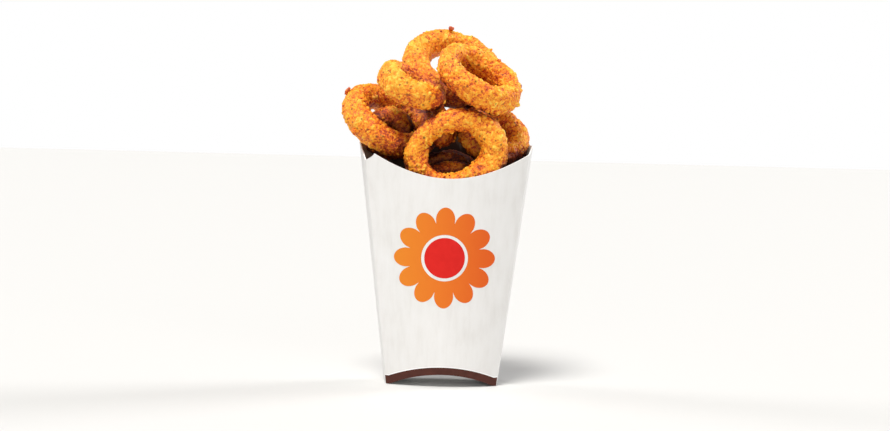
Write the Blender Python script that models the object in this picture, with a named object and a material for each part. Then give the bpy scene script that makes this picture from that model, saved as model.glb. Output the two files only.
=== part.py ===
"""Onion rings side: fried onion rings heaped in a small scooped paperboard carton.

Metres, +Z up. The front of the carton faces -Y. It stands on its two side panels' bottom
folds, because its base is arched. Every ring is a solid of its own.
"""

import math

import bmesh
import bpy
from mathutils import Euler, Vector, noise

MM = 0.001

# The whole thing is moved by this, so that the origin is under the middle of its box.
CENTRING = (5.15 * MM, -7.1 * MM, 0.0)

# Carton: one folded sheet of board.
BOARD = 0.6 * MM
CARTON_HEIGHT = 133 * MM
FRONT_HALF_WIDTH = (30.6 * MM, 45.6 * MM)   # at the foot, and at CARTON_HEIGHT
BACK_HALF_WIDTH = (32.2 * MM, 49.2 * MM)
SIDE_HALF_DEPTH = (9.0 * MM, 16.0 * MM)
PANEL_BOW = (9.0 * MM, 13.0 * MM)           # how far the front and back bulge in the middle
SCOOP_DEPTH = 19 * MM                       # the front rim's dip below CARTON_HEIGHT
CORNER_DROP = 4 * MM                        # the rim at the front folds, below CARTON_HEIGHT
RIM_SLANT = 1 * MM                          # the glued side of the rim stands higher by this
SEAM_TRIM = 7 * MM                          # how far the glued corner is cut down
BACK_CREST = 5 * MM                         # the back panel's rise above CARTON_HEIGHT
ARCH_RISE = 6.7 * MM                        # the base's middle above the foot folds
ARCH_SPAN = 0.93                            # of the half width; the feet outside it are flat
SEAM_TRIM_FROM = 0.88                       # of the half width, where the trimmed corner starts

PANEL_STEPS = 16                            # across the front, and across the back
SIDE_STEPS = 2                              # down a side panel: its fold, then its middle
WALL_STEPS = 7                              # up the walls

# Rings: a thick crumbed tube, bent round.
AROUND = 24
SECTION = 10
LUMP = 0.55 * MM
LUMP_SIZE = 9 * MM

# Each ring: its centre in millimetres; tip, lean and turn in degrees, where a ring lies flat
# at 0, tip raises its far side, lean lowers its right side and turn swings it round; the
# radius of its middle line and of its tube; tall, how much higher than thick the tube is,
# as a slice of onion is; then what makes it uneven, each as an amount and the direction,
# round the ring from its own +X, where it is greatest.
RINGS = {
    "ring_crown": dict(at=(3.5, 25.8, 175.7), tip=53, lean=18, radius=20.5, tube=6.7, tall=1.15,
                       oval=(0.11, 0), swell=(0.08, 215), seed=11),
    "ring_upper_right": dict(at=(16.4, -8.5, 169.1), tip=31, lean=32, radius=18.0, tube=6.5, tall=1.3,
                             oval=(0.10, 0), swell=(0.08, 0), seed=12),
    "ring_mid_left": dict(at=(-19.8, -9.6, 163.8), tip=18, lean=25, radius=13.2, tube=6.3, tall=1.25,
                          oval=(0.08, 0), swell=(0.05, 200), seed=13),
    "ring_left": dict(at=(-32, 11.5, 144.7), tip=31, lean=29, radius=21, tube=6.8, tall=1.12,
                      oval=(0.05, 0), swell=(0.07, 200), seed=14),
    "ring_front": dict(at=(4.3, -14.4, 127.4), tip=95, lean=0, radius=20, tube=7.0,
                       oval=(0.10, 25), swell=(0.22, -55), seed=15),
    "ring_right": dict(at=(25.9, 9.2, 138.4), tip=44, lean=23, radius=14.2, tube=6.2, tall=1.1,
                       oval=(0.04, 0), swell=(0.05, 0), seed=16),
    "ring_inside_front": dict(at=(2, 2.1, 98), tip=90, lean=10, radius=20, tube=6.4,
                              oval=(0.03, 60), swell=(0.05, 0), seed=17),
    "ring_inside_back": dict(at=(1, 15.9, 104), tip=91, lean=0, radius=19.5, tube=6.2,
                             oval=(0.04, 90), swell=(0.05, 0), seed=18),
    "ring_under_front": dict(at=(-1, -11.3, 81.5), tip=92, lean=0, radius=11.5, tube=5.8,
                             oval=(0.04, 0), swell=(0.05, 0), seed=19),
    "ring_small": dict(at=(-7.2, 5.1, 144.3), tip=28, lean=49, radius=8.2, tube=4.4,
                       oval=(0.04, 0), swell=(0.05, 90), seed=25),
    "ring_nested": dict(at=(-32.4, 11.2, 137.6), tip=74, lean=20, radius=8.8, tube=4.6,
                        oval=(0.08, 90), swell=(0.06, 180), seed=24),
    "ring_under_left": dict(at=(-31, 1, 92), tip=90, lean=0, turn=80, radius=11, tube=5.6,
                            oval=(0.05, 90), swell=(0.05, 0), seed=20),
    "ring_under_right": dict(at=(35.2, 0, 101), tip=90, lean=0, turn=-85, radius=9.5, tube=5.2,
                             oval=(0.05, 90), swell=(0.05, 0), seed=21),
    "ring_low_front": dict(at=(-3, -7.6, 36), tip=90, lean=0, radius=19, tube=6.4,
                           oval=(0.03, 0), swell=(0.05, 0), seed=22),
    "ring_low_back": dict(at=(3, 7.6, 37), tip=90, lean=0, radius=19, tube=6.4,
                          oval=(0.03, 90), swell=(0.05, 0), seed=23),
}


def lerp(pair, t):
    """The value t of the way from the foot's size to the top's size."""
    return pair[0] + (pair[1] - pair[0]) * t


def make_material(name, colour, roughness):
    material = bpy.data.materials.new(name)
    material.use_nodes = True
    shader = material.node_tree.nodes["Principled BSDF"]
    shader.inputs["Base Color"].default_value = (*colour, 1.0)
    shader.inputs["Roughness"].default_value = roughness
    shader.inputs["Metallic"].default_value = 0.0
    return material


def make_object(name, mesh, material, stand):
    mesh.materials.append(material)
    thing = bpy.data.objects.new(name, mesh)
    bpy.context.collection.objects.link(thing)
    thing.parent = stand
    return thing


def arch_height(u):
    """Height of the base's fold, u being -1 to 1 across the carton."""
    return ARCH_RISE * max(0.0, 1.0 - (u / ARCH_SPAN) ** 2)


def front_rim(u):
    """Height of the front's scooped rim, with the glued corner on -X trimmed."""
    corner = CARTON_HEIGHT - CORNER_DROP - RIM_SLANT * u
    dip = (SCOOP_DEPTH - CORNER_DROP) * (1.0 - u * u)
    into_trim = max(0.0, (-u - SEAM_TRIM_FROM) / (1.0 - SEAM_TRIM_FROM))
    return corner - dip - SEAM_TRIM * into_trim


def back_rim(u):
    return CARTON_HEIGHT + BACK_CREST * math.cos(0.5 * math.pi * u)


def panel_stations():
    """Where the mesh has its columns across a panel, -1 to 1."""
    inner = [SEAM_TRIM_FROM * (2.0 * i / PANEL_STEPS - 1.0) for i in range(PANEL_STEPS + 1)]
    return [-1.0, -ARCH_SPAN, *inner, ARCH_SPAN, 1.0]


def wall_stations():
    """Once round the carton: each station's panel, and how far along it the station is."""
    across = panel_stations()
    sides = [i / SIDE_STEPS for i in range(SIDE_STEPS)]
    stations = [("front", u) for u in across[:-1]]
    stations += [("right", s) for s in sides]
    stations += [("back", u) for u in reversed(across[1:])]
    stations += [("left", s) for s in sides]
    return stations


def wall_span(panel, u):
    """Heights of the foot and of the rim at one station."""
    if panel == "front":
        return arch_height(u), front_rim(u)
    if panel == "back":
        return arch_height(u), back_rim(u)
    if panel == "right":
        return 0.0, front_rim(1.0) + (back_rim(1.0) - front_rim(1.0)) * u
    return 0.0, back_rim(1.0) + (front_rim(-1.0) - back_rim(1.0)) * u


def wall_point(panel, u, z):
    t = z / CARTON_HEIGHT
    front, back = lerp(FRONT_HALF_WIDTH, t), lerp(BACK_HALF_WIDTH, t)
    side, bow = lerp(SIDE_HALF_DEPTH, t), lerp(PANEL_BOW, t)
    if panel == "front":
        return Vector((front * u, -side - bow * (1.0 - u * u), z))
    if panel == "back":
        return Vector((back * u, side + bow * (1.0 - u * u), z))
    if panel == "right":
        return Vector((front + (back - front) * u, side * (2.0 * u - 1.0), z))
    return Vector((-back + (back - front) * u, side * (1.0 - 2.0 * u), z))


def make_carton(material, stand):
    """The carton: walls and arched base as one sheet, thickened inwards."""
    bm = bmesh.new()
    columns = []
    for panel, u in wall_stations():
        foot, rim = wall_span(panel, u)
        heights = [foot + (rim - foot) * k / WALL_STEPS for k in range(WALL_STEPS + 1)]
        columns.append([bm.verts.new(wall_point(panel, u, z)) for z in heights])
    count = len(columns)
    for i in range(count):
        here, there = columns[i], columns[(i + 1) % count]
        for k in range(WALL_STEPS):
            bm.faces.new((here[k], there[k], there[k + 1], here[k + 1]))
    # The base: strips from the front's foot to the back's, matched across the carton.
    panel = len(panel_stations())
    front_feet = [columns[i][0] for i in range(panel)]
    back_feet = [columns[(2 * panel - 2 + SIDE_STEPS - i) % count][0] for i in range(panel)]
    middle = [bm.verts.new((f.co + b.co) / 2) for f, b in zip(front_feet[1:-1], back_feet[1:-1])]
    middle = [columns[-1][0], *middle, columns[panel][0]]
    for i in range(panel - 1):
        bm.faces.new((front_feet[i], middle[i], middle[i + 1], front_feet[i + 1]))
        bm.faces.new((middle[i], back_feet[i], back_feet[i + 1], middle[i + 1]))
    bmesh.ops.recalc_face_normals(bm, faces=bm.faces)
    mesh = bpy.data.meshes.new("carton")
    bm.to_mesh(mesh)
    bm.free()
    carton = make_object("carton", mesh, material, stand)
    board = carton.modifiers.new("board", "SOLIDIFY")
    board.thickness = BOARD
    board.offset = -1.0
    board.use_even_offset = True
    return carton


def ring_vertex(spec, around, across):
    """A point on a ring's crust, before its lumps."""
    oval, oval_way = spec.get("oval", (0.0, 0.0))
    swell, swell_way = spec.get("swell", (0.0, 0.0))
    radius = spec["radius"] * (1.0 + oval * math.cos(2.0 * (around - math.radians(oval_way))))
    tube = spec["tube"] * (1.0 + swell * math.cos(around - math.radians(swell_way)))
    out = radius + tube * math.cos(across)
    rise = tube * spec.get("tall", 1.0) * math.sin(across)
    return Vector((out * math.cos(around), out * math.sin(around), rise)) * MM


def make_ring(name, spec, material, stand):
    bm = bmesh.new()
    seat = Vector((17.0, 5.0, 3.0)) * spec["seed"]
    loops = []
    for i in range(AROUND):
        around = 2.0 * math.pi * i / AROUND
        middle = ring_vertex({**spec, "tube": 0.0}, around, 0.0)
        loop = []
        for j in range(SECTION):
            point = ring_vertex(spec, around, 2.0 * math.pi * j / SECTION)
            outward = (point - middle).normalized()
            lump = noise.noise(point / LUMP_SIZE + seat)
            loop.append(bm.verts.new(point + outward * lump * 2.0 * LUMP))
        loops.append(loop)
    for i in range(AROUND):
        here, there = loops[i], loops[(i + 1) % AROUND]
        for j in range(SECTION):
            k = (j + 1) % SECTION
            bm.faces.new((here[j], there[j], there[k], here[k]))
    bmesh.ops.recalc_face_normals(bm, faces=bm.faces)
    mesh = bpy.data.meshes.new(name)
    bm.to_mesh(mesh)
    bm.free()
    mesh.shade_smooth()
    ring = make_object(name, mesh, material, stand)
    ring.location = Vector(spec["at"]) * MM
    ring.rotation_euler = Euler((math.radians(spec["tip"]), math.radians(spec["lean"]),
                                 math.radians(spec.get("turn", 0.0))))
    return ring


def main():
    for thing in list(bpy.data.objects):
        bpy.data.objects.remove(thing)
    stand = bpy.data.objects.new("stand", None)
    bpy.context.collection.objects.link(stand)
    stand.location = CENTRING
    make_carton(make_material("paperboard", (0.86, 0.85, 0.82), 0.6), stand)
    for name, spec in RINGS.items():
        make_ring(name, spec, make_material(name + "_crust", (0.80, 0.36, 0.06), 0.6), stand)


main()
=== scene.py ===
"""The looks of the onion rings side: crumbed fried rings heaped in a printed paperboard carton."""
import math
from itertools import product

import bmesh
import bpy
import numpy as np
from mathutils import Matrix, Vector, noise
from mathutils.bvhtree import BVHTree


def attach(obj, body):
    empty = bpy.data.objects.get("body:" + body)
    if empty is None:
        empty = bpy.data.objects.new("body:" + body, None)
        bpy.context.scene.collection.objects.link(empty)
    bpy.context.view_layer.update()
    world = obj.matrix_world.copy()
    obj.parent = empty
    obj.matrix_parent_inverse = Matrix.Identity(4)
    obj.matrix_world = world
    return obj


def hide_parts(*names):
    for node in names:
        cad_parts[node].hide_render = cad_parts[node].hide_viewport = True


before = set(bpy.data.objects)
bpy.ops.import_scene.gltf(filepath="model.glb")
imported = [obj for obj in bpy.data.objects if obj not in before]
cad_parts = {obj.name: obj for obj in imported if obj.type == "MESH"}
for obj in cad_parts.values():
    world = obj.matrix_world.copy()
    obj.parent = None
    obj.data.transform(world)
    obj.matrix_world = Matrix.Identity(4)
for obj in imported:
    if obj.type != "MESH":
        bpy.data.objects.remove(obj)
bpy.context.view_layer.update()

MM = 0.001
BODY = "root"

# ---------------------------------------------------------------- repeatable noise on arrays


def hashed(cells, salt):
    """A repeatable number from 0 to 1 for every whole-number cell, as an array."""
    c = cells.astype(np.int64)
    h = (c[..., 0] * 73856093) ^ (c[..., 1] * 19349663) ^ (c[..., 2] * 83492791)
    h = (h ^ (salt * 2654435761)) & 0xFFFFFFFF
    h = ((h ^ (h >> 15)) * 2246822519) & 0xFFFFFFFF
    h = ((h ^ (h >> 13)) * 3266489917) & 0xFFFFFFFF
    h = h ^ (h >> 16)
    return (h & 0xFFFFFF) / float(0x1000000)


def soft_noise(points, size, salt):
    """Smooth noise from -1 to 1 whose hills are about one size apart."""
    q = points / size
    base = np.floor(q)
    f = q - base
    f = f * f * (3.0 - 2.0 * f)
    total = np.zeros(len(points))
    for corner in product((0, 1), repeat=3):
        weight = np.ones(len(points))
        for axis in range(3):
            weight = weight * (f[:, axis] if corner[axis] else 1.0 - f[:, axis])
        total += weight * hashed(base + np.array(corner), salt)
    return total * 2.0 - 1.0


def layered_noise(points, size, salt, layers=3):
    total = np.zeros(len(points))
    for i in range(layers):
        total += soft_noise(points, size / 2.0 ** i, salt + i) / 2.0 ** i
    return total / 1.6


def nearest_crumb(points, size, salt):
    """For each point: distance to the nearest scattered crumb, in sizes, and its own number."""
    q = points / size
    base = np.floor(q)
    best = np.full(len(points), 9.0)
    number = np.zeros(len(points))
    for step in product((-1, 0, 1), repeat=3):
        cell = base + np.array(step)
        seat = cell + np.stack([hashed(cell, salt + k) for k in range(3)], axis=1)
        gap = np.linalg.norm(q - seat, axis=1)
        closer = gap < best
        best = np.where(closer, gap, best)
        number = np.where(closer, hashed(cell, salt + 3), number)
    return best, number


# ---------------------------------------------------------------- small helpers


def link(name, mesh):
    thing = bpy.data.objects.new(name, mesh)
    bpy.context.scene.collection.objects.link(thing)
    return thing


def applied(thing):
    """Turns an object's modifiers into its mesh."""
    view = bpy.context.evaluated_depsgraph_get()
    mesh = bpy.data.meshes.new_from_object(thing.evaluated_get(view))
    old = thing.data
    thing.modifiers.clear()
    thing.data = mesh
    bpy.data.meshes.remove(old)
    return thing


def get_points(mesh):
    co = np.empty(len(mesh.vertices) * 3)
    mesh.vertices.foreach_get("co", co)
    return co.reshape(-1, 3)


def get_normals(mesh):
    no = np.empty(len(mesh.vertices) * 3)
    mesh.vertices.foreach_get("normal", no)
    return no.reshape(-1, 3)


def set_points(mesh, points):
    mesh.vertices.foreach_set("co", points.ravel())
    mesh.update()


def set_attribute(mesh, name, values):
    layer = mesh.attributes.new(name, "FLOAT", "POINT")
    layer.data.foreach_set("value", np.asarray(values, dtype=np.float32))


class Nodes:
    """A short way to write a material's node tree."""

    def __init__(self, name):
        self.material = bpy.data.materials.new(name)
        self.material.use_nodes = True
        self.tree = self.material.node_tree
        self.shader = self.tree.nodes["Principled BSDF"]

    def add(self, kind, **settings):
        node = self.tree.nodes.new("ShaderNode" + kind)
        for key, value in settings.items():
            setattr(node, key, value)
        return node

    def join(self, source, target):
        self.tree.links.new(source, target)

    def place(self):
        return self.add("TexCoord").outputs["Object"]

    def attribute(self, name):
        return self.add("Attribute", attribute_name=name).outputs["Fac"]

    def noise(self, size, detail=3.0, rough=0.5, where=None):
        node = self.add("TexNoise")
        self.join(where or self.place(), node.inputs["Vector"])
        node.inputs["Scale"].default_value = 1.0 / size
        node.inputs["Detail"].default_value = detail
        node.inputs["Roughness"].default_value = rough
        return node.outputs["Fac"]

    def cells(self, size, feature="F1"):
        node = self.add("TexVoronoi", feature=feature)
        self.join(self.place(), node.inputs["Vector"])
        node.inputs["Scale"].default_value = 1.0 / size
        return node

    def math(self, operation, a, b=None, clamp=False):
        node = self.add("Math", operation=operation, use_clamp=clamp)
        for socket, value in zip(node.inputs, (a, b)):
            if value is None:
                continue
            if isinstance(value, (int, float)):
                socket.default_value = value
            else:
                self.join(value, socket)
        return node.outputs[0]

    def ramp(self, value, stops):
        node = self.add("ValToRGB")
        self.join(value, node.inputs["Fac"])
        band = node.color_ramp
        while len(band.elements) < len(stops):
            band.elements.new(0.5)
        for element, (place, colour) in zip(band.elements, stops):
            element.position = place
            element.color = (*colour, 1.0)
        return node.outputs["Color"]

    def mix(self, amount, first, second):
        node = self.add("Mix", data_type="RGBA")
        for socket, value in ((node.inputs[0], amount), (node.inputs[6], first),
                              (node.inputs[7], second)):
            if isinstance(value, tuple):
                socket.default_value = (*value, 1.0)
            elif isinstance(value, (int, float)):
                socket.default_value = value
            else:
                self.join(value, socket)
        return node.outputs[2]

    def bump(self, height, distance, strength=1.0, under=None):
        node = self.add("Bump")
        node.inputs["Distance"].default_value = distance
        node.inputs["Strength"].default_value = strength
        self.join(height, node.inputs["Height"])
        if under is not None:
            self.join(under, node.inputs["Normal"])
        return node.outputs["Normal"]


# ---------------------------------------------------------------- crust

CRUST_DARK = (0.20, 0.018, 0.003)
CRUST_RED = (0.62, 0.085, 0.006)
CRUST_ORANGE = (0.92, 0.255, 0.008)
CRUST_GOLD = (1.00, 0.40, 0.015)
CRUST_PALE = (1.00, 0.66, 0.085)
CHAR = (0.10, 0.012, 0.004)
HERB = (0.030, 0.040, 0.010)
# the near-black colour that painted shade darkens the crust towards
PAINTED_SHADE_CRUST = (0.09, 0.018, 0.010)


def crust_material(name, warmth=0.0):
    """Fried crumb with dark specks. Pale gold on the crumbs' tops and red-brown between them is
    painted highlight and painted shade from the crumbs' height; the colour darkens further as
    painted shade where the rings shut each other in.
    """
    n = Nodes(name)
    relief = n.attribute("relief")
    tone = n.attribute("tone")
    patch = n.attribute("patch")
    shade = n.attribute("shade")
    grain = n.noise(0.0009, 2.0, 0.6)
    # painted light: the crumbs' height makes their tops paler (painted highlight) and the gaps
    # between them red-brown (painted shade)
    value = n.math("MULTIPLY", relief, 0.62)
    value = n.math("ADD", value, n.math("MULTIPLY", tone, 0.26))
    value = n.math("ADD", value, n.math("MULTIPLY", patch, 0.42))
    value = n.math("ADD", value, n.math("MULTIPLY", n.math("SUBTRACT", grain, 0.5), 0.75))
    # painted shade: where the rings shut each other in, the colour slides down the ramp towards
    # red-brown
    value = n.math("SUBTRACT", value, n.math("MULTIPLY", shade, 0.36))
    value = n.math("SUBTRACT", value, warmth, clamp=True)
    colour = n.ramp(value, [(0.08, CRUST_DARK), (0.25, CRUST_RED), (0.38, CRUST_ORANGE),
                            (0.53, CRUST_GOLD), (0.80, CRUST_PALE)])
    ragged = n.math("MULTIPLY", n.noise(0.0006, 2.0, 0.7), 0.40)
    spots = n.math("ADD", n.cells(0.0034).outputs["Distance"], ragged)
    spot = n.math("LESS_THAN", spots, 0.40)
    rare = n.math("LESS_THAN", n.noise(0.006, 1.0), 0.50)
    colour = n.mix(n.math("MULTIPLY", n.math("MULTIPLY", spot, rare), 0.65), colour, CHAR)
    flecks = n.math("ADD", n.cells(0.0075).outputs["Distance"], ragged)
    fleck = n.math("LESS_THAN", flecks, 0.245)
    colour = n.mix(n.math("MULTIPLY", fleck, 0.75), colour, HERB)
    # painted shade: the same shelter value multiplies the colour towards near black
    depth = n.add("MapRange")
    n.join(shade, depth.inputs["Value"])
    depth.inputs["From Min"].default_value = 0.32
    depth.inputs["From Max"].default_value = 0.74
    dark = n.add("Mix", data_type="RGBA", blend_type="MULTIPLY")
    n.join(depth.outputs[0], dark.inputs[0])
    n.join(colour, dark.inputs[6])
    dark.inputs[7].default_value = (*PAINTED_SHADE_CRUST, 1.0)
    n.join(dark.outputs[2], n.shader.inputs["Base Color"])
    rough = n.add("MapRange")
    n.join(grain, rough.inputs["Value"])
    rough.inputs["To Min"].default_value = 0.34
    rough.inputs["To Max"].default_value = 0.70
    n.join(rough.outputs[0], n.shader.inputs["Roughness"])
    fine = n.bump(n.noise(0.00045, 3.0, 0.65), 0.00025, 0.8)
    n.join(n.bump(grain, 0.00040, 0.7, fine), n.shader.inputs["Normal"])
    n.shader.inputs["Subsurface Weight"].default_value = 0.06
    n.shader.inputs["Subsurface Radius"].default_value = (1.0, 0.35, 0.12)
    n.shader.inputs["Subsurface Scale"].default_value = 0.0012
    n.shader.inputs["Specular IOR Level"].default_value = 0.4
    return n.material


# Rings that show are finely meshed; those deep in the carton coarser.
FINE = 0.42 * MM
COARSE = 0.8 * MM
DEEP_RINGS = ("ring_low_front", "ring_low_back", "ring_under_front", "ring_under_left",
              "ring_under_right")
LUMP_HEIGHT = 1.0 * MM
CRUMB_SIZE = 2.3 * MM
CRUMB_HEIGHT = 1.05 * MM
CRUMB_BEND = 0.9 * MM
GRIT_SIZE = 1.2 * MM
GRIT_HEIGHT = 0.62 * MM
COAT_SINK = 0.50 * MM
# The coat is thicker where rings press on each other, so these close up to their neighbours.
THICKER = {"ring_nested": 2.0 * MM, "ring_small": 2.5 * MM, "ring_crown": 1.0 * MM,
           "ring_front": 0.7 * MM, "ring_right": 0.6 * MM, "ring_left": 0.5 * MM}


def smooth_copy(node, voxel):
    """The CAD ring as an evenly meshed smooth body."""
    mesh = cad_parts[node].data.copy()
    mesh.materials.clear()
    bm = bmesh.new()
    bm.from_mesh(mesh)
    bmesh.ops.remove_doubles(bm, verts=bm.verts, dist=0.00001)
    bm.to_mesh(mesh)
    bm.free()
    thing = link("crust_" + node, mesh)
    rounding = thing.modifiers.new("rounding", "SUBSURF")
    rounding.levels = rounding.render_levels = 2
    even = thing.modifiers.new("even", "REMESH")
    even.mode = "VOXEL"
    even.voxel_size = voxel
    calm = thing.modifiers.new("calm", "SMOOTH")
    calm.factor = 0.5
    calm.iterations = 4
    return applied(thing)


def crumb_relief(points, salt):
    """Height of the crumb coat over the smooth body, and the numbers its colour is made from."""
    bend = np.stack([layered_noise(points, 2.0 * MM, salt + 40 + k) for k in range(3)], axis=1)
    bent = points + bend * CRUMB_BEND
    lumps = layered_noise(points, 7.5 * MM, salt)
    gap, number = nearest_crumb(bent, CRUMB_SIZE, salt + 10)
    grit_gap, grit_number = nearest_crumb(bent, GRIT_SIZE, salt + 20)
    peak = np.clip(1.15 - gap / 0.72, 0.0, 1.0)
    cover = np.clip(0.70 + 0.7 * soft_noise(points, 6.0 * MM, salt + 5), 0.15, 1.0)
    flake = np.clip((number - 0.88) / 0.12, 0.0, 1.0)
    grit = np.clip(1.1 - grit_gap / 0.66, 0.0, 1.0) * (0.3 + 0.7 * grit_number)
    height = lumps * LUMP_HEIGHT + grit * GRIT_HEIGHT
    height += peak * (0.25 + 0.75 * number + 0.9 * flake) * cover * CRUMB_HEIGHT
    # relief is the crumbs' height; the crust colour turns it into painted highlight on the tops and
    # painted shade between them
    relief = 0.5 * peak * (0.35 + 0.65 * number) * cover + 0.5 * grit
    tone = 0.6 * number + 0.4 * grit_number
    return height - COAT_SINK, relief, tone, lumps


# ---------------------------------------------------------------- painted shade: how shut in each point is among the solids, to darken colours

SHADE_RAYS = 56
SHADE_REACH = 34 * MM


def scattered_directions(count):
    """Directions spread evenly over a whole sphere."""
    turns = np.arange(count) * math.pi * (3.0 - math.sqrt(5.0))
    z = 1.0 - 2.0 * (np.arange(count) + 0.5) / count
    flat = np.sqrt(1.0 - z * z)
    return [Vector(d) for d in np.stack([flat * np.cos(turns), flat * np.sin(turns), z], axis=1)]


def solid_tree():
    """All the CAD solids as one tree to cast rays at."""
    points, faces = [], []
    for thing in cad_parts.values():
        first = len(points)
        points.extend(v.co.copy() for v in thing.data.vertices)
        faces.extend([first + i for i in f.vertices] for f in thing.data.polygons)
    return BVHTree.FromPolygons(points, faces)


def shelter(tree, seats, normals, lift=0.4 * MM):
    """How shut in each seat is, from 0 in the open to 1 deep in a gap."""
    directions = scattered_directions(SHADE_RAYS)
    shut = np.zeros(len(seats))
    for i, (seat, normal) in enumerate(zip(seats, normals)):
        start = seat + normal * lift
        blocked = total = 0.0
        for way in directions:
            slope = way.dot(normal)
            if slope <= 0.05:
                continue
            total += slope
            distance = tree.ray_cast(start, way, SHADE_REACH)[3]
            if distance is not None:
                blocked += slope * (1.0 - 0.6 * distance / SHADE_REACH)
        shut[i] = blocked / total
    return shut


def spread(seats, values, points):
    """Values known at a few seats, blended over many points by nearness."""
    seats = np.asarray(seats, dtype=np.float32) / MM
    result = np.empty(len(points))
    for first in range(0, len(points), 4096):
        some = np.asarray(points[first:first + 4096], dtype=np.float32) / MM
        gap = ((some[:, None, :] - seats[None, :, :]) ** 2).sum(axis=2)
        weight = 1.0 / (gap + 1.5) ** 2
        result[first:first + 4096] = (weight * values).sum(axis=1) / weight.sum(axis=1)
    return result


SOLIDS = solid_tree()


def crust(node, salt, material):
    voxel = COARSE if node in DEEP_RINGS else FINE
    ring = smooth_copy(node, voxel)
    points = get_points(ring.data)
    normals = get_normals(ring.data)
    height, relief, tone, lumps = crumb_relief(points, salt)
    height += THICKER.get(node, 0.0)
    set_points(ring.data, points + normals * height[:, None])
    patch = 0.5 + 0.5 * layered_noise(points, 11.0 * MM, salt + 70)
    set_attribute(ring.data, "relief", relief)
    set_attribute(ring.data, "tone", tone)
    set_attribute(ring.data, "patch", 0.75 * patch + 0.25 * (0.5 + 0.5 * lumps))
    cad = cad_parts[node].data
    seats = [v.co.copy() for v in cad.vertices]
    # painted shade: how shut in the CAD ring is among its neighbours, spread over the fine crust to
    # darken its colour
    shut = shelter(SOLIDS, seats, [v.normal.copy() for v in cad.vertices])
    set_attribute(ring.data, "shade", spread(seats, shut, points))
    ring.data.shade_smooth()
    ring.data.materials.append(material)
    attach(ring, BODY)
    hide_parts(node)
    return ring


# ---------------------------------------------------------------- loose crumbs

CRUMBS_PER_RING = 46


def crumb_shape(rng, size):
    """One small jagged crumb, as points and faces."""
    bm = bmesh.new()
    bmesh.ops.create_icosphere(bm, subdivisions=2, radius=1.0)
    seat = Vector(rng.uniform(0.0, 100.0, 3))
    stretch = Vector((rng.uniform(0.7, 1.25), rng.uniform(0.7, 1.25), rng.uniform(0.45, 0.8)))
    for v in bm.verts:
        v.co *= 1.0 + 0.42 * noise.noise(v.co * 1.3 + seat) + 0.2 * noise.noise(v.co * 3.1 + seat)
        v.co = Vector(a * b for a, b in zip(v.co, stretch)) * size
    return bm


def scatter_crumbs(rings, material):
    """Small crumbs that stick to the crust, joined as one piece."""
    rng = np.random.default_rng(71)
    whole = bmesh.new()
    tones = []
    for ring in rings:
        points, normals = get_points(ring.data), get_normals(ring.data)
        for _ in range(CRUMBS_PER_RING):
            i = int(rng.integers(len(points)))
            size = float(rng.uniform(0.45, 1.0)) * MM
            add_crumb(whole, tones, rng, Vector(points[i]), Vector(normals[i]), size)
    crown = rings[0]
    for way, size in (((0.0, -0.1, 1.0), 2.3), ((0.25, -0.3, 0.9), 1.4)):
        add_edge_crumb(whole, tones, rng, crown, way, size * MM)
    left = next(r for r in rings if r.name.endswith("ring_left"))
    for way, size in (((-0.8, -0.1, 0.55), 2.1), ((-0.75, -0.4, -0.5), 1.7)):
        add_edge_crumb(whole, tones, rng, left, way, size * MM)
    mesh = bpy.data.meshes.new("loose_crumbs")
    whole.to_mesh(mesh)
    whole.free()
    crumbs = link("loose_crumbs", mesh)
    set_attribute(mesh, "tone", tones)
    set_attribute(mesh, "relief", np.full(len(tones), 0.45))
    set_attribute(mesh, "patch", np.array(tones) * 0.8)
    set_attribute(mesh, "shade", np.full(len(tones), 0.1))
    mesh.shade_smooth()
    mesh.materials.append(material)
    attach(crumbs, BODY)


def add_edge_crumb(whole, tones, rng, ring, way, size):
    """A crumb on the ring's outermost point in one direction."""
    points, normals = get_points(ring.data), get_normals(ring.data)
    i = int(np.argmax(points @ np.array(way)))
    add_crumb(whole, tones, rng, Vector(points[i]), Vector(normals[i]), size)


def add_crumb(whole, tones, rng, seat, up, size):
    bm = crumb_shape(rng, size)
    turn = up.to_track_quat("Z", "Y").to_matrix()
    spin = Matrix.Rotation(float(rng.uniform(0.0, 2.0 * math.pi)), 3, "Z")
    tone = float(rng.uniform(0.0, 0.8))
    verts = [whole.verts.new(seat + turn @ (spin @ v.co) + up * size * 0.15) for v in bm.verts]
    bm.verts.index_update()
    for face in bm.faces:
        whole.faces.new([verts[v.index] for v in face.verts])
    tones.extend([tone] * len(verts))
    bm.free()


# ---------------------------------------------------------------- carton

BOARD = 0.6 * MM
CARTON_HEIGHT = 133 * MM
FRONT_HALF_WIDTH = (30.6 * MM, 45.6 * MM)
BACK_HALF_WIDTH = (32.2 * MM, 49.2 * MM)
SIDE_HALF_DEPTH = (9.0 * MM, 16.0 * MM)
PANEL_BOW = (9.0 * MM, 13.0 * MM)
SCOOP_DEPTH = 19 * MM
CORNER_DROP = 4 * MM
RIM_SLANT = 1 * MM
SEAM_TRIM = 7 * MM
SEAM_TRIM_FROM = 0.88
BACK_CREST = 5 * MM
ARCH_RISE = 6.7 * MM
ARCH_SPAN = 0.93
ACROSS = 72
DOWN_SIDE = 8
UP_WALL = 36
RIPPLE = 0.12 * MM


def lerp(pair, t):
    return pair[0] + (pair[1] - pair[0]) * t


def carton_centre():
    """Where the carton's own middle is: over the middle of its two feet."""
    feet = [v.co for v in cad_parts["carton"].data.vertices if v.co.z < 0.05 * MM]
    xs, ys = [p.x for p in feet], [p.y for p in feet]
    return Vector(((min(xs) + max(xs)) / 2, (min(ys) + max(ys)) / 2, 0.0))


CENTRE = carton_centre()


def arch_height(u):
    return ARCH_RISE * max(0.0, 1.0 - (u / ARCH_SPAN) ** 2)


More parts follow.
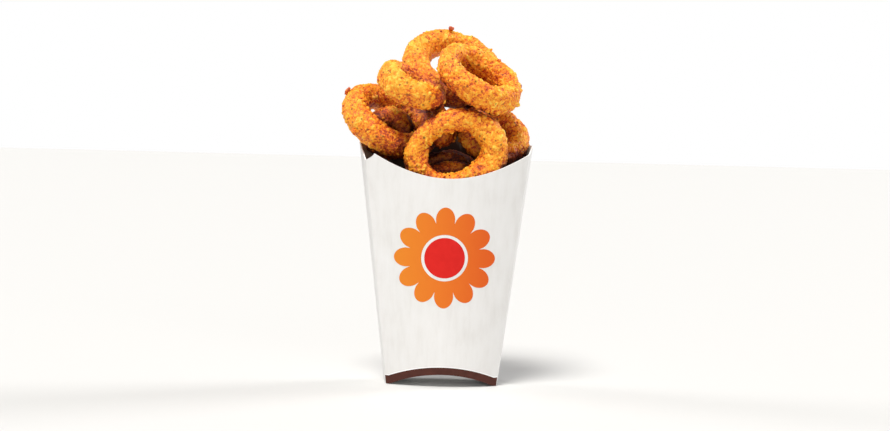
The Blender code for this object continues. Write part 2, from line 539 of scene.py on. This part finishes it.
def front_rim(u):
    corner = CARTON_HEIGHT - CORNER_DROP - RIM_SLANT * u
    dip = (SCOOP_DEPTH - CORNER_DROP) * (1.0 - u * u)
    into_trim = min(1.0, max(0.0, (-u - SEAM_TRIM_FROM) / (1.0 - SEAM_TRIM_FROM)))
    return corner - dip - SEAM_TRIM * into_trim ** 0.8


def back_rim(u):
    return CARTON_HEIGHT + BACK_CREST * math.cos(0.5 * math.pi * u)


def wall_span(panel, u):
    if panel == "front":
        return arch_height(u), front_rim(u)
    if panel == "back":
        return arch_height(u), back_rim(u)
    if panel == "right":
        return 0.0, front_rim(1.0) + (back_rim(1.0) - front_rim(1.0)) * u
    return 0.0, back_rim(1.0) + (front_rim(-1.0) - back_rim(1.0)) * u


def wall_point(panel, u, z):
    """A point on the carton's outer face, in the row frame."""
    t = z / CARTON_HEIGHT
    front, back = lerp(FRONT_HALF_WIDTH, t), lerp(BACK_HALF_WIDTH, t)
    side, bow = lerp(SIDE_HALF_DEPTH, t), lerp(PANEL_BOW, t)
    if panel in ("front", "back"):
        ripple = RIPPLE * noise.noise(Vector((u * 2.1, z * 22.0, 3.0))) * (1.0 - u * u)
        depth = side + bow * (1.0 - u * u) + ripple
        if panel == "front":
            return CENTRE + Vector((front * u, -depth, z))
        return CENTRE + Vector((back * u, depth, z))
    if panel == "right":
        return CENTRE + Vector((front + (back - front) * u, side * (2.0 * u - 1.0), z))
    return CENTRE + Vector((-back + (back - front) * u, side * (1.0 - 2.0 * u), z))


def across_panel():
    """Columns across a panel, with one where the feet end and one where the trim starts."""
    inner = [SEAM_TRIM_FROM * (2.0 * i / ACROSS - 1.0) for i in range(ACROSS + 1)]
    outer = [SEAM_TRIM_FROM + 0.025, ARCH_SPAN, 0.965]
    return [-1.0, *(-u for u in reversed(outer)), *inner, *outer, 1.0]


def carton_sheet():
    """The carton's walls and arched base as one sheet of board."""
    bm = bmesh.new()
    across = across_panel()
    sides = [i / DOWN_SIDE for i in range(DOWN_SIDE)]
    stations = [("front", u) for u in across[:-1]] + [("right", s) for s in sides]
    stations += [("back", u) for u in reversed(across[1:])] + [("left", s) for s in sides]
    columns = []
    for panel, u in stations:
        foot, rim = wall_span(panel, u)
        heights = [foot + (rim - foot) * k / UP_WALL for k in range(UP_WALL + 1)]
        columns.append([bm.verts.new(wall_point(panel, u, z)) for z in heights])
    count = len(columns)
    for i in range(count):
        here, there = columns[i], columns[(i + 1) % count]
        for k in range(UP_WALL):
            bm.faces.new((here[k], there[k], there[k + 1], here[k + 1]))
    add_base(bm, columns, len(across))
    bmesh.ops.recalc_face_normals(bm, faces=bm.faces)
    return bm


def add_base(bm, columns, panel):
    """The base, ruled from the front's foot to the back's, column by column."""
    count = len(columns)
    right_side, left_side = panel - 1, count - DOWN_SIDE
    rows = []
    for i in range(panel):
        front = columns[i][0]
        back = columns[(left_side - i) % count][0]
        if i == 0:
            row = [columns[(count - k) % count][0] for k in range(DOWN_SIDE + 1)]
        elif i == panel - 1:
            row = [columns[right_side + k][0] for k in range(DOWN_SIDE + 1)]
        else:
            inner = [bm.verts.new(front.co.lerp(back.co, k / DOWN_SIDE))
                     for k in range(1, DOWN_SIDE)]
            row = [front, *inner, back]
        rows.append(row)
    for here, there in zip(rows, rows[1:]):
        for k in range(DOWN_SIDE):
            bm.faces.new((here[k], here[k + 1], there[k + 1], there[k]))


def board_material():
    """Uncoated white board: faint fibre streaks up the wall and a soft mottle."""
    n = Nodes("paperboard")
    stretch = n.add("Mapping")
    n.join(n.place(), stretch.inputs["Vector"])
    stretch.inputs["Scale"].default_value = (1.0, 1.0, 0.16)
    streaks = n.noise(0.0035, 4.0, 0.6, stretch.outputs[0])
    mottle = n.noise(0.018, 3.0, 0.55)
    value = n.math("ADD", n.math("MULTIPLY", streaks, 0.55), n.math("MULTIPLY", mottle, 0.45))
    colour = n.ramp(value, [(0.30, (0.715, 0.70, 0.68)), (0.50, (0.775, 0.765, 0.75)),
                            (0.72, (0.81, 0.803, 0.795))])
    n.join(colour, n.shader.inputs["Base Color"])
    n.shader.inputs["Roughness"].default_value = 0.62
    n.shader.inputs["Specular IOR Level"].default_value = 0.35
    fibre = n.noise(0.0006, 4.0, 0.65)
    n.join(n.bump(fibre, 0.00006, 0.5), n.shader.inputs["Normal"])
    return n.material


def edge_material():
    n = Nodes("board_edge")
    grain = n.noise(0.0008, 2.0)
    colour = n.ramp(grain, [(0.3, (0.93, 0.925, 0.91)), (0.7, (0.98, 0.975, 0.97))])
    n.join(colour, n.shader.inputs["Base Color"])
    n.shader.inputs["Roughness"].default_value = 0.8
    return n.material


# the near-black colour that painted shade darkens the board's inner face towards
PAINTED_SHADE_BOARD = (0.045, 0.018, 0.010)


def inside_material():
    """The board's inner face, grey-white with warm oil stains, and painted shade that darkens it to
    near black where the rings shut it in.
    """
    n = Nodes("board_inside")
    stain = n.noise(0.020, 4.0, 0.6)
    colour = n.ramp(stain, [(0.42, (0.66, 0.64, 0.61)), (0.56, (0.60, 0.54, 0.46)),
                            (0.70, (0.46, 0.34, 0.21))])
    # painted shade: the shelter value blends the inner face towards near black
    depth = n.add("MapRange")
    n.join(n.attribute("shade"), depth.inputs["Value"])
    depth.inputs["From Min"].default_value = 0.15
    depth.inputs["From Max"].default_value = 0.50
    n.join(n.mix(depth.outputs[0], colour, PAINTED_SHADE_BOARD), n.shader.inputs["Base Color"])
    n.shader.inputs["Roughness"].default_value = 0.55
    return n.material


def make_carton():
    mesh = bpy.data.meshes.new("carton_board")
    bm = carton_sheet()
    bm.to_mesh(mesh)
    bm.free()
    carton = link("carton_board", mesh)
    for material in (board_material(), edge_material(), inside_material()):
        mesh.materials.append(material)
    folds = carton.modifiers.new("folds", "BEVEL")
    folds.limit_method = "ANGLE"
    folds.angle_limit = math.radians(28)
    folds.width = 0.7 * MM
    folds.segments = 3
    board = carton.modifiers.new("board", "SOLIDIFY")
    board.thickness = BOARD
    board.offset = -1.0
    board.use_even_offset = True
    board.material_offset_rim = 1
    board.material_offset = 2
    applied(carton)
    carton.data.shade_smooth()
    carton.data.set_sharp_from_angle(angle=math.radians(45))
    # painted shade: how shut in the board is among the rings, kept lighter near the folds, darkens
    # the inner face's colour
    seats = [v.co.copy() for v in carton.data.vertices]
    normals = [v.normal.copy() for v in carton.data.vertices]
    shut = shelter(SOLIDS, seats, normals, lift=1.2 * MM)
    from_fold = np.array([FRONT_HALF_WIDTH[1] - abs(p.x - CENTRE.x) for p in seats])
    open_corner = np.clip((from_fold - 5 * MM) / (9 * MM), 0.1, 1.0)
    set_attribute(carton.data, "shade", shut * open_corner)
    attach(carton, BODY)
    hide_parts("carton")
    return carton


# ---------------------------------------------------------------- print on the board

PRINT_LIFT = 0.06 * MM
BAND_HEIGHT = (4.1 * MM, 4.7 * MM)          # in the middle, and at the corners
BADGE_HEIGHT = 71 * MM
BADGE_RADIUS = 27.5 * MM
PETALS = 12
LINE_HEIGHT = 0.55 * MM                     # a bare bright line along the band's top
BROWN = [(0.35, (0.066, 0.019, 0.013)), (0.65, (0.086, 0.025, 0.017))]
WHITE = [(0.35, (0.93, 0.925, 0.915)), (0.65, (0.97, 0.965, 0.96))]
ORANGE = [(0.05, (0.76, 0.225, 0.017)), (0.95, (0.72, 0.108, 0.010))]
RED = [(0.35, (0.64, 0.011, 0.008)), (0.65, (0.68, 0.014, 0.010))]


def printed_point(panel, x, z):
    """A point just proud of a panel's outer face, x from its middle and z high."""
    half = lerp(FRONT_HALF_WIDTH if panel == "front" else BACK_HALF_WIDTH, z / CARTON_HEIGHT)
    out = -1.0 if panel == "front" else 1.0
    return wall_point(panel, x / half, z) + Vector((0.0, out * PRINT_LIFT, 0.0))


def flat_material(name, stops, across=False):
    """Printed ink: one hue, or a soft blend from the left to the right."""
    n = Nodes(name)
    if across:
        split = n.add("SeparateXYZ")
        n.join(n.place(), split.inputs[0])
        shade = n.add("MapRange")
        n.join(split.outputs["X"], shade.inputs["Value"])
        shade.inputs["From Min"].default_value = CENTRE.x - BADGE_RADIUS
        shade.inputs["From Max"].default_value = CENTRE.x + BADGE_RADIUS
        value = n.math("ADD", shade.outputs[0],
                       n.math("MULTIPLY", n.math("SUBTRACT", n.noise(0.004), 0.5), 0.10))
    else:
        value = n.noise(0.004, 3.0)
    n.join(n.ramp(value, stops), n.shader.inputs["Base Color"])
    n.shader.inputs["Roughness"].default_value = 0.6
    n.shader.inputs["Specular IOR Level"].default_value = 0.2
    n.join(n.bump(n.noise(0.0006, 3.0, 0.6), 0.00005, 0.4), n.shader.inputs["Normal"])
    return n.material


def grid_piece(name, rows, material, closed=False):
    """A sheet through rows of points."""
    bm = bmesh.new()
    grid = [[bm.verts.new(p) for p in row] for row in rows]
    last = len(grid[0]) if closed else len(grid[0]) - 1
    for a, b in zip(grid, grid[1:]):
        for k in range(last):
            m = (k + 1) % len(a)
            bm.faces.new((a[k], a[m], b[m], b[k]))
    mesh = bpy.data.meshes.new(name)
    bm.to_mesh(mesh)
    bm.free()
    piece = link(name, mesh)
    mesh.shade_smooth()
    mesh.materials.append(material)
    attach(piece, BODY)
    return piece


def foot_strip(panel, low, high, steps=4, columns=96, reach=0.995):
    """Rows of points along a panel's arched foot, from low to high above it."""
    halves = FRONT_HALF_WIDTH if panel == "front" else BACK_HALF_WIDTH
    rows = []
    for k in range(steps + 1):
        row = []
        for i in range(columns + 1):
            u = reach * (2.0 * i / columns - 1.0)
            z = arch_height(u) + low(u) + (high(u) - low(u)) * k / steps
            row.append(printed_point(panel, u * lerp(halves, z / CARTON_HEIGHT), z))
        rows.append(row if panel == "front" else row[::-1])
    return rows


def make_bands(ink, bare):
    """The dark band along the arched foot of the front and of the back, and its bright line."""
    def band_top(u):
        return lerp(BAND_HEIGHT, u * u)

    for panel in ("front", "back"):
        grid_piece("print_band_" + panel, foot_strip(panel, lambda u: 0.0, band_top), ink)
        line = foot_strip(panel, band_top, lambda u: band_top(u) + LINE_HEIGHT, steps=1)
        grid_piece("print_line_" + panel, line, bare)


def badge_ring(radius_at, steps=288):
    row = []
    for i in range(steps):
        a = 2.0 * math.pi * i / steps
        r = radius_at(a)
        row.append(printed_point("front", r * math.cos(a), BADGE_HEIGHT + r * math.sin(a)))
    return row


def make_badge(petal_ink, core_ink):
    """A plain rosette: orange petals round a red disc."""
    def petal_edge(a):
        wave = abs(math.cos(0.5 * PETALS * a)) ** 0.55
        return BADGE_RADIUS * (0.70 + 0.30 * wave)
    inner = BADGE_RADIUS * 0.46
    rows = []
    for k in range(9):
        t = k / 8
        rows.append(badge_ring(lambda a: inner + (petal_edge(a) - inner) * t))
    grid_piece("print_petals", rows, petal_ink, closed=True)
    core = BADGE_RADIUS * 0.40
    rows = [badge_ring(lambda a: core * max(k / 8, 0.0001)) for k in range(9)]
    grid_piece("print_core", rows, core_ink, closed=True)


# ---------------------------------------------------------------- stage


def make_stage():
    bpy.ops.mesh.primitive_plane_add(size=60.0, location=(0.0, 0.0, -0.0002))
    floor = bpy.context.object
    floor.name = "floor"
    n = Nodes("pale_floor")
    n.shader.inputs["Base Color"].default_value = (0.66, 0.655, 0.645, 1.0)
    n.shader.inputs["Roughness"].default_value = 0.7
    floor.data.materials.append(n.material)


def add_sun(name, way, power, softness, colour=(1.0, 1.0, 1.0)):
    """A far, soft lamp that shines from one way; the floor gets it evenly."""
    data = bpy.data.lights.new(name, "SUN")
    data.energy = power
    data.angle = math.radians(softness)
    data.color = colour
    lamp = bpy.data.objects.new(name, data)
    bpy.context.scene.collection.objects.link(lamp)
    lamp.rotation_euler = Vector(way).to_track_quat("Z", "Y").to_euler()


AMBIENT = 0.22


def make_lights():
    add_sun("key", (-0.20, -0.42, 1.0), 3.4, 22.0, (1.0, 0.985, 0.955))
    add_sun("front", (0.30, -1.0, 0.28), 0.55, 50.0)
    add_sun("rim_right", (0.9, 0.40, 0.50), 1.5, 20.0)
    add_sun("rim_left", (-0.9, 0.35, 0.55), 0.8, 20.0)
    world = bpy.data.worlds.new("studio")
    world.use_nodes = True
    bpy.context.scene.world = world
    tree = world.node_tree
    ambient = tree.nodes["Background"]
    ambient.inputs["Color"].default_value = (1.0, 1.0, 1.0, 1.0)
    ambient.inputs["Strength"].default_value = AMBIENT
    seen = tree.nodes.new("ShaderNodeBackground")
    seen.inputs["Color"].default_value = (1.0, 1.0, 1.0, 1.0)
    choose = tree.nodes.new("ShaderNodeMixShader")
    path = tree.nodes.new("ShaderNodeLightPath")
    tree.links.new(path.outputs["Is Camera Ray"], choose.inputs[0])
    tree.links.new(ambient.outputs[0], choose.inputs[1])
    tree.links.new(seen.outputs[0], choose.inputs[2])
    tree.links.new(choose.outputs[0], tree.nodes["World Output"].inputs["Surface"])


CAMERA_DISTANCE = 0.80
CAMERA_HEIGHT = 0.128
CAMERA_SIDE = -0.012
CAMERA_PITCH = 2.5
CAMERA_ROLL = 1.45
LENS = 58.25


def make_camera():
    data = bpy.data.cameras.new("camera")
    data.lens = LENS
    data.sensor_width = 36.0
    camera = bpy.data.objects.new("camera", data)
    bpy.context.scene.collection.objects.link(camera)
    yaw = math.atan2(-CAMERA_SIDE, CAMERA_DISTANCE)
    turn = Matrix.Rotation(-yaw, 4, "Z") @ Matrix.Rotation(math.radians(90.0 - CAMERA_PITCH), 4, "X")
    turn = turn @ Matrix.Rotation(math.radians(CAMERA_ROLL), 4, "Z")
    place = CENTRE + Vector((CAMERA_SIDE, -CAMERA_DISTANCE, CAMERA_HEIGHT))
    camera.matrix_world = Matrix.Translation(place) @ turn
    bpy.context.scene.camera = camera


make_stage()
make_lights()
make_camera()
bpy.context.scene.view_settings.view_transform = "Standard"

coat = crust_material("crust")
ring_nodes = sorted(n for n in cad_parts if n.startswith("ring_"))
skins = [crust(node, 100 * (i + 1), coat) for i, node in enumerate(ring_nodes)]
shown = [s for s, node in zip(skins, ring_nodes) if node not in DEEP_RINGS]
scatter_crumbs(shown, crust_material("crumb", warmth=0.12))
make_carton()
make_bands(flat_material("ink_brown", BROWN), flat_material("bare_line", WHITE))
make_badge(flat_material("ink_orange", ORANGE, across=True), flat_material("ink_red", RED))
